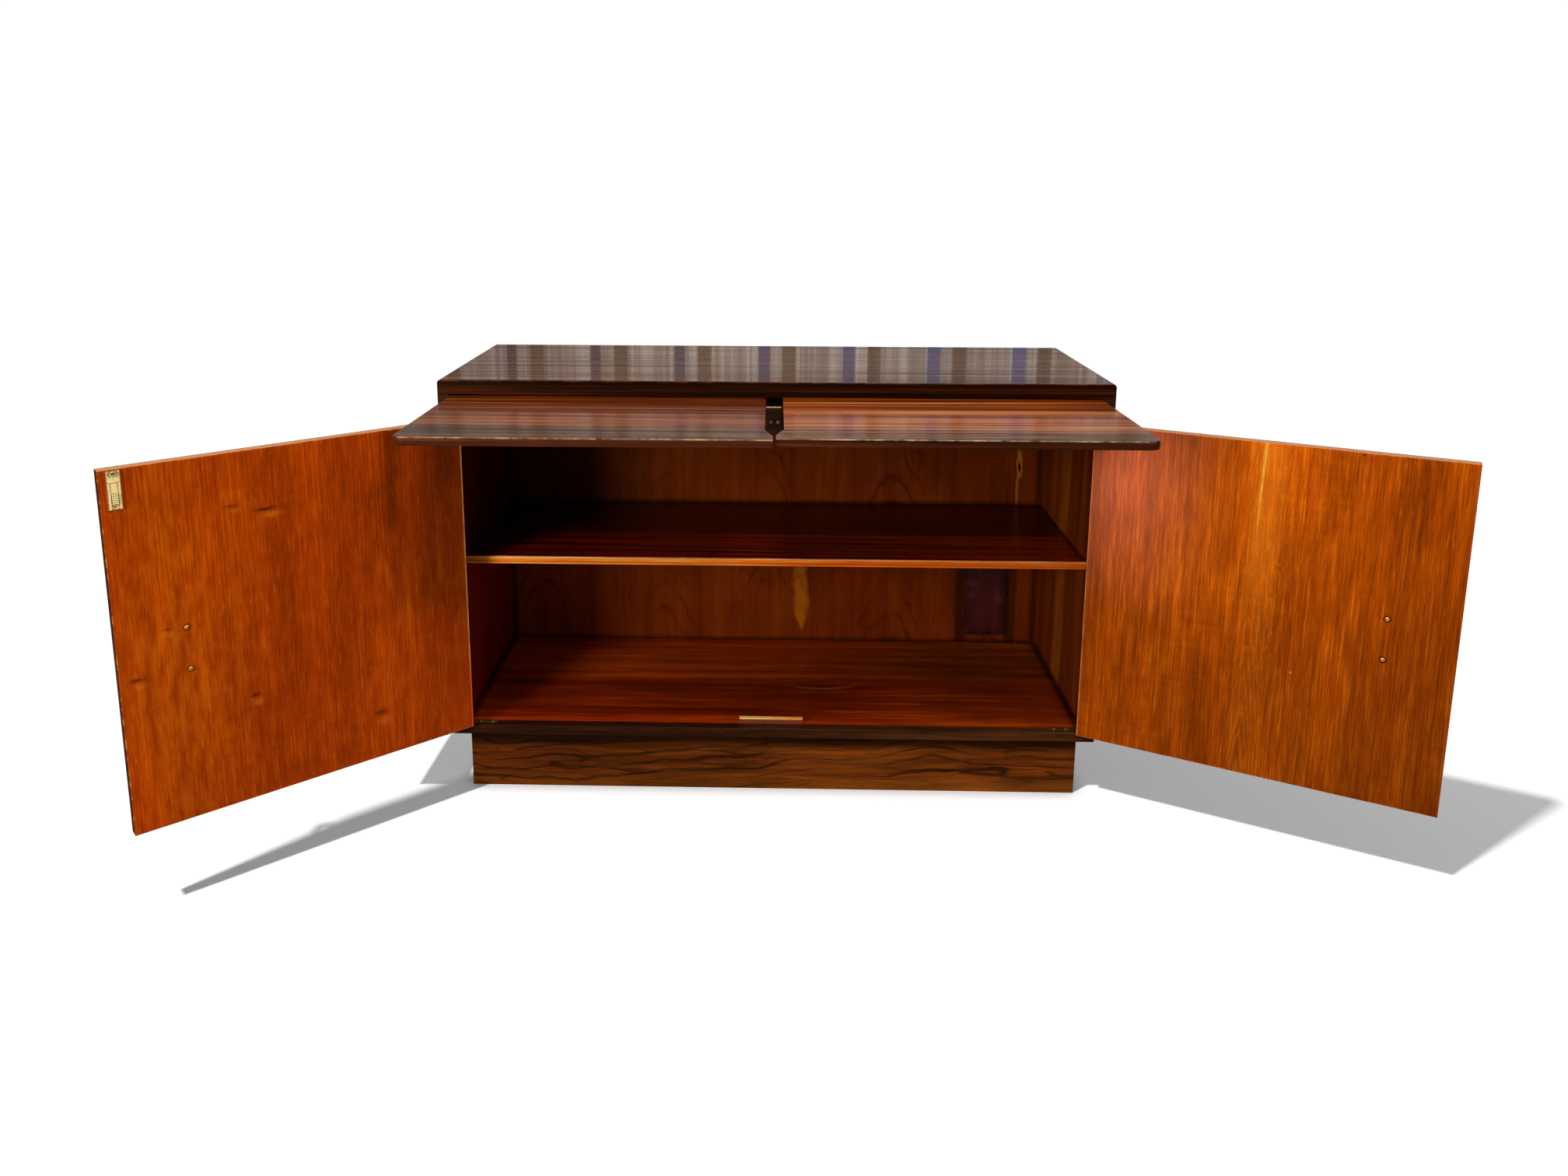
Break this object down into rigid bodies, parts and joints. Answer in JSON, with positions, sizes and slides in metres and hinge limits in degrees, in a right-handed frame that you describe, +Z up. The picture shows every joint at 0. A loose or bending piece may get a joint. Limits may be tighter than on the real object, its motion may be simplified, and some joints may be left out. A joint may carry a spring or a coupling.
{
  "type": "low cabinet with pull-out leaves",
  "caption": "Low free-standing dark wood cabinet on a recessed plinth, with inset swinging doors, an inner shelf and pull-out leaves under a thick top.",
  "frame": {"origin": "on the floor, in the middle of the cabinet's width and of its depth, on the underside of the plinth", "axes": "+X to the right seen from the front along the 1.2 m width, the front and the doors face -Y, +Z up"},
  "size_m": [2.0858, 0.8275, 0.789],
  "materials": {
    "rosewood": "polished dark rosewood veneer",
    "mahogany": "satin orange-brown mahogany veneer",
    "light_edge": "satin golden lipping",
    "back_veneer": "thin satin varnish on plywood",
    "cover_board": "dark purple-brown stained board",
    "plain_timber": "unpolished stained timber",
    "brass": "aged satin brass",
    "steel": "dull screws"
  },
  "bodies": {
    "carcass": {"top_panel": "rosewood", "side_panel_left": "rosewood", "side_panel_right": "rosewood", "bottom_panel": "mahogany", "bottom_lipping": "rosewood", "back_panel": "back_veneer", "back_panel_screws": "steel", "cover_board": "cover_board", "cover_board_pins": "steel", "shelf": "mahogany", "shelf_lipping": "light_edge", "shelf_cleat_left": "plain_timber", "shelf_cleat_right": "plain_timber", "shelf_cleat_screws": "steel", "slide_rail": "rosewood", "slide_runner_left": "plain_timber", "slide_runner_right": "plain_timber", "slide_runner_screws": "steel", "center_runner": "plain_timber", "slide_divider": "mahogany", "stop_block": "mahogany", "stop_block_screws": "steel", "floor_stop": "brass", "floor_stop_screws": "brass", "bolt_keeper": "brass", "bolt_keeper_screws": "brass", "plinth_front": "rosewood", "plinth_back": "rosewood", "plinth_side_left": "rosewood", "plinth_side_right": "rosewood", "plinth_cross_rail": "plain_timber", "plinth_corner_blocks": "plain_timber", "hinge_plates_carcass_left": "brass", "hinge_plates_carcass_right": "brass", "hinge_pins": "brass", "hinge_washers": "brass", "hinge_screws_carcass": "brass"},
    "leaf_left": {"slide_leaf_left": "rosewood", "slide_stop_pegs_left": "plain_timber"},
    "leaf_right": {"slide_leaf_right": "rosewood", "slide_stop_pegs_right": "plain_timber"},
    "door_left": {"door_panel_left": "mahogany", "door_facing_left": "rosewood", "hinge_plates_door_left": "brass", "hinge_screws_door_left": "brass", "handle_left": "brass", "handle_screws_left": "steel", "bolt_plate": "brass", "bolt_plate_screws": "brass"},
    "door_right": {"door_panel_right": "mahogany", "door_facing_right": "rosewood", "hinge_plates_door_right": "brass", "hinge_screws_door_right": "brass", "handle_right": "brass", "handle_screws_right": "steel"},
    "bolt_bar": {"bolt": "brass"}
  },
  "joints": [
    {"name": "leaf_left_slide", "type": "slide", "parent": "carcass", "child": "leaf_left", "axis": [0, -1, 0], "range_m": [-0.328, 0.007]},
    {"name": "leaf_right_slide", "type": "slide", "parent": "carcass", "child": "leaf_right", "axis": [0, -1, 0], "range_m": [-0.32, 0.015]},
    {"name": "door_left_hinge", "type": "hinge", "parent": "carcass", "child": "door_left", "pos_m": [-0.574, -0.2175, 0.426], "axis": [0, 0, -1], "range_deg": [-138.7, 26.3]},
    {"name": "door_right_hinge", "type": "hinge", "parent": "carcass", "child": "door_right", "pos_m": [0.574, -0.2175, 0.426], "axis": [0, 0, 1], "range_deg": [-152.6, 12.4]},
    {"name": "bolt_slide", "type": "slide", "parent": "door_left", "child": "bolt_bar", "axis": [0, 0, 1], "range_m": [0, 0.01]}
  ]
}
